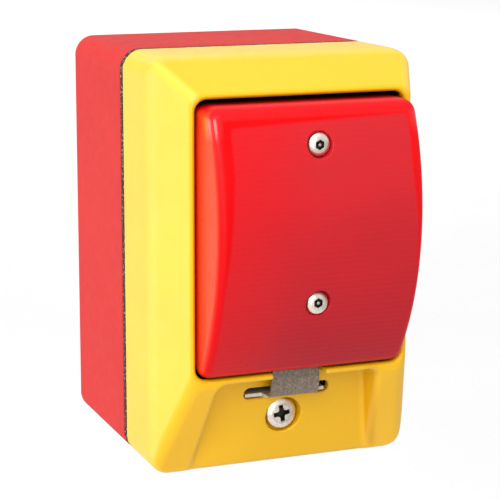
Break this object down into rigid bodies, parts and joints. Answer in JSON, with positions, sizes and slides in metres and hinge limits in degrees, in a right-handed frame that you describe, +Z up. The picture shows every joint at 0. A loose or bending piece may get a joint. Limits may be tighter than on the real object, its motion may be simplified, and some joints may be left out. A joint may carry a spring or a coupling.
{
  "type": "manual call point",
  "caption": "Wall-mounted manual call point: deep red back box, yellow hooked cover, sprung red push plate with hold-in tab, and contact blocks inside.",
  "frame": {"origin": "centre of the back face, on the wall, at mid-height and mid-width", "axes": "+Z up, +Y into the wall, so the front looks along -Y; +X to the right as seen from the front"},
  "size_m": [0.08, 0.1031, 0.121],
  "materials": {
    "red_plastic": "moulded, semi-gloss red",
    "foam": "dark cellular foam with light specks",
    "brass": "turned",
    "yellow_plastic": "moulded, satin yellow",
    "black_plastic": "matte black",
    "bush_plastic": "natural acetal",
    "zinc_steel": "bright zinc or nickel plate",
    "spring_steel": "drawn wire",
    "galvanised": "grey galvanised sheet",
    "clear_red": "gloss translucent red",
    "white_plastic": "white",
    "block_red": "matte red",
    "block_green": "matte green",
    "contact_copper": "silver-tipped copper"
  },
  "bodies": {
    "housing": {"back_box": "red_plastic", "cover_gasket": "foam", "screw_insert": "brass"},
    "cover": {"front_cover": "yellow_plastic", "chassis": "black_plastic", "guide_bushes": "bush_plastic", "chassis_screws": "zinc_steel", "cover_screw": "zinc_steel", "screw_retainer": "zinc_steel", "tab_keeper": "galvanised", "keeper_screws": "zinc_steel", "contact_block_nc": "block_red", "contact_block_no": "block_green", "block_screws": "zinc_steel", "fixed_contacts_nc": "contact_copper", "fixed_contacts_no": "contact_copper", "terminals_nc": "brass", "terminals_no": "brass", "terminal_screws": "zinc_steel", "return_springs": "spring_steel", "spring_nc": "spring_steel", "spring_no": "spring_steel"},
    "plate": {"push_plate": "clear_red", "plate_carrier": "white_plastic", "plate_screws": "zinc_steel", "guide_stems": "zinc_steel", "stem_clips": "spring_steel"},
    "plunger_nc": {"plunger_nc": "white_plastic", "bridge_nc": "contact_copper"},
    "plunger_no": {"plunger_no": "white_plastic", "bridge_no": "contact_copper"},
    "hold_tab": {"hold_tab": "galvanised"}
  },
  "joints": [
    {"name": "cover_open", "type": "hinge", "parent": "housing", "child": "cover", "pos_m": [0, -0.0502, 0.0608], "axis": [-1, 0, 0], "range_deg": [0, 45]},
    {"name": "plate_press", "type": "slide", "parent": "cover", "child": "plate", "axis": [0, 1, 0], "range_m": [0, 0.0075], "stiffness_N_per_m": 600, "springref_m": -0.006, "deforming": ["return_springs", "spring_nc", "spring_no"]},
    {"name": "plunger_nc_slide", "type": "slide", "parent": "cover", "child": "plunger_nc", "axis": [0, 1, 0], "range_m": [0, 0.0075]},
    {"name": "plunger_no_slide", "type": "slide", "parent": "cover", "child": "plunger_no", "axis": [0, 1, 0], "range_m": [0, 0.0075]},
    {"name": "hold_tab_lift", "type": "slide", "parent": "cover", "child": "hold_tab", "axis": [0, 0, 1], "range_m": [0, 0.002]}
  ],
  "couplings": [
    {"joint": "plunger_nc_slide", "follows": "plate_press", "ratio": 1},
    {"joint": "plunger_no_slide", "follows": "plate_press", "ratio": 1}
  ]
}
